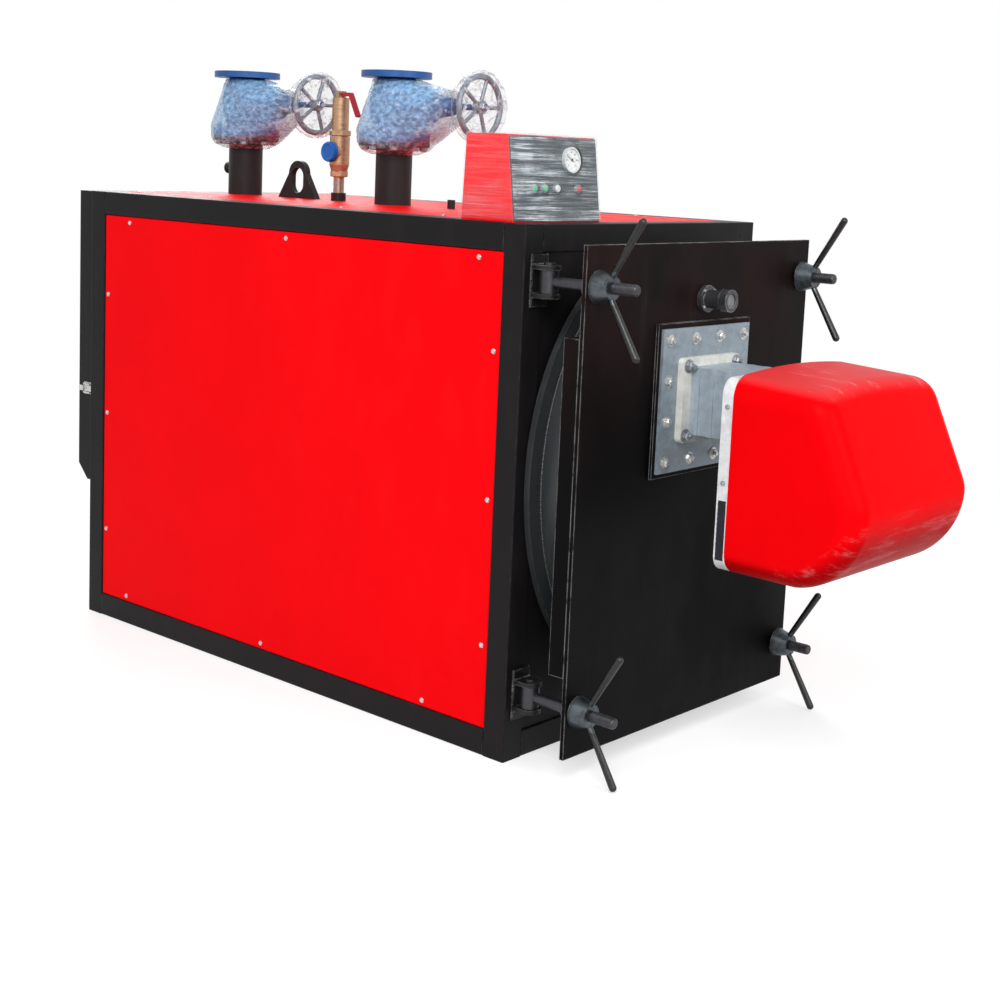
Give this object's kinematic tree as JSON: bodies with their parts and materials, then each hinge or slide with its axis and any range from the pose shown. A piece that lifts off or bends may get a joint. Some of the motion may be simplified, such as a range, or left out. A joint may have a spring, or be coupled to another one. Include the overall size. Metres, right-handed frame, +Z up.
{
  "type": "condensing boiler",
  "caption": "Floor-standing fire-tube condensing boiler in a framed casing with a hinged burner door, pressure burner, flanged gate valves, safety valve and control box.",
  "frame": {"origin": "on the floor under the middle of the casing", "axes": "+Z up, the door and burner face -Y, +X is to the right seen from the door"},
  "size_m": [1.038, 2.9881, 1.81],
  "materials": {
    "frame_black": "satin",
    "panel_red": "smooth satin",
    "vessel_steel": "mill scale",
    "insert_alloy": "extruded",
    "collar_black": "heat-proof satin",
    "smoke_box_black": "satin",
    "flue_steel": "plain",
    "stub_black": "satin",
    "valve_blue": "gloss over cast iron",
    "wheel_grey": "gloss",
    "brass_body": "machined",
    "lever_red": "gloss",
    "fascia_grey": "fine texture",
    "gauge_white": "gloss",
    "switch_plastic": "gloss",
    "fitting_steel": "zinc plated",
    "door_black": "heat-proof satin",
    "lining_fibre": "coarse",
    "sight_metal": "satin",
    "plate_zinc": "galvanised",
    "flange_cream": "matt",
    "neck_alloy": "cast",
    "base_grey": "cast and painted",
    "hood_red": "gloss"
  },
  "bodies": {
    "casing": {"frame_posts": "frame_black", "frame_side_rails": "frame_black", "frame_cross_rails": "frame_black", "side_panels": "panel_red", "top_panel": "panel_red", "end_panels": "frame_black", "boiler_drum": "vessel_steel", "drum_saddles": "vessel_steel", "front_tube_plate": "vessel_steel", "rear_tube_plate": "vessel_steel", "furnace_tube": "vessel_steel", "smoke_tubes": "vessel_steel", "tube_inserts": "insert_alloy", "drum_collar": "collar_black", "smoke_box": "smoke_box_black", "flue_spigot": "flue_steel", "pipe_stubs": "stub_black", "valve_bodies": "valve_blue", "valve_bonnets": "valve_blue", "crown_sockets": "stub_black", "safety_valve": "brass_body", "lifting_lug": "stub_black", "control_box": "panel_red", "control_fascia": "fascia_grey", "control_gauge": "gauge_white", "control_switches": "switch_plastic", "hinge_brackets": "frame_black", "hinge_pins": "fitting_steel"},
    "door": {"door_plate": "door_black", "door_stiffeners": "door_black", "door_lining": "lining_fibre", "left_eyebolts": "fitting_steel", "sight_glass": "sight_metal", "burner_plate": "plate_zinc", "burner_flange": "flange_cream", "burner_neck": "neck_alloy", "burner_base": "base_grey", "burner_hood": "hood_red"},
    "upper_right_bolt": {"upper_right_eyebolt": "fitting_steel"},
    "lower_right_bolt": {"lower_right_eyebolt": "fitting_steel"},
    "upper_left_nut": {"upper_left_wing_nut": "fitting_steel"},
    "lower_left_nut": {"lower_left_wing_nut": "fitting_steel"},
    "upper_right_nut": {"upper_right_wing_nut": "fitting_steel"},
    "lower_right_nut": {"lower_right_wing_nut": "fitting_steel"},
    "flow_wheel": {"flow_handwheel": "wheel_grey"},
    "return_wheel": {"return_handwheel": "wheel_grey"},
    "lever": {"safety_lever": "lever_red"}
  },
  "joints": [
    {"name": "door_hinge", "type": "hinge", "parent": "casing", "child": "door", "pos_m": [-0.463, -0.964, 0.718], "axis": [0, 0, -1], "range_deg": [0, 95]},
    {"name": "upper_right_bolt_swing", "type": "hinge", "parent": "casing", "child": "upper_right_bolt", "pos_m": [0.463, -0.964, 1.258], "axis": [0, 0, 1], "range_deg": [0, 100]},
    {"name": "lower_right_bolt_swing", "type": "hinge", "parent": "casing", "child": "lower_right_bolt", "pos_m": [0.463, -0.964, 0.178], "axis": [0, 0, 1], "range_deg": [0, 100]},
    {"name": "upper_left_nut_turn", "type": "hinge", "parent": "door", "child": "upper_left_nut", "pos_m": [-0.463, -1.1453, 1.258], "axis": [0, -1, 0], "continuous": true},
    {"name": "upper_right_nut_turn", "type": "hinge", "parent": "upper_right_bolt", "child": "upper_right_nut", "pos_m": [0.463, -1.1583, 1.258], "axis": [0, -1, 0], "continuous": true},
    {"name": "lower_left_nut_turn", "type": "hinge", "parent": "door", "child": "lower_left_nut", "pos_m": [-0.463, -1.1453, 0.178], "axis": [0, -1, 0], "continuous": true},
    {"name": "lower_right_nut_turn", "type": "hinge", "parent": "lower_right_bolt", "child": "lower_right_nut", "pos_m": [0.463, -1.1583, 0.178], "axis": [0, -1, 0], "continuous": true},
    {"name": "flow_wheel_turn", "type": "hinge", "parent": "casing", "child": "flow_wheel", "pos_m": [0, -0.286, 1.705], "axis": [0, -1, 0], "continuous": true},
    {"name": "return_wheel_turn", "type": "hinge", "parent": "casing", "child": "return_wheel", "pos_m": [0, 0.43, 1.705], "axis": [0, -1, 0], "continuous": true},
    {"name": "safety_lever_lift", "type": "hinge", "parent": "casing", "child": "lever", "pos_m": [0, 0.315, 1.739], "axis": [-1, 0, 0], "range_deg": [0, 25]}
  ]
}
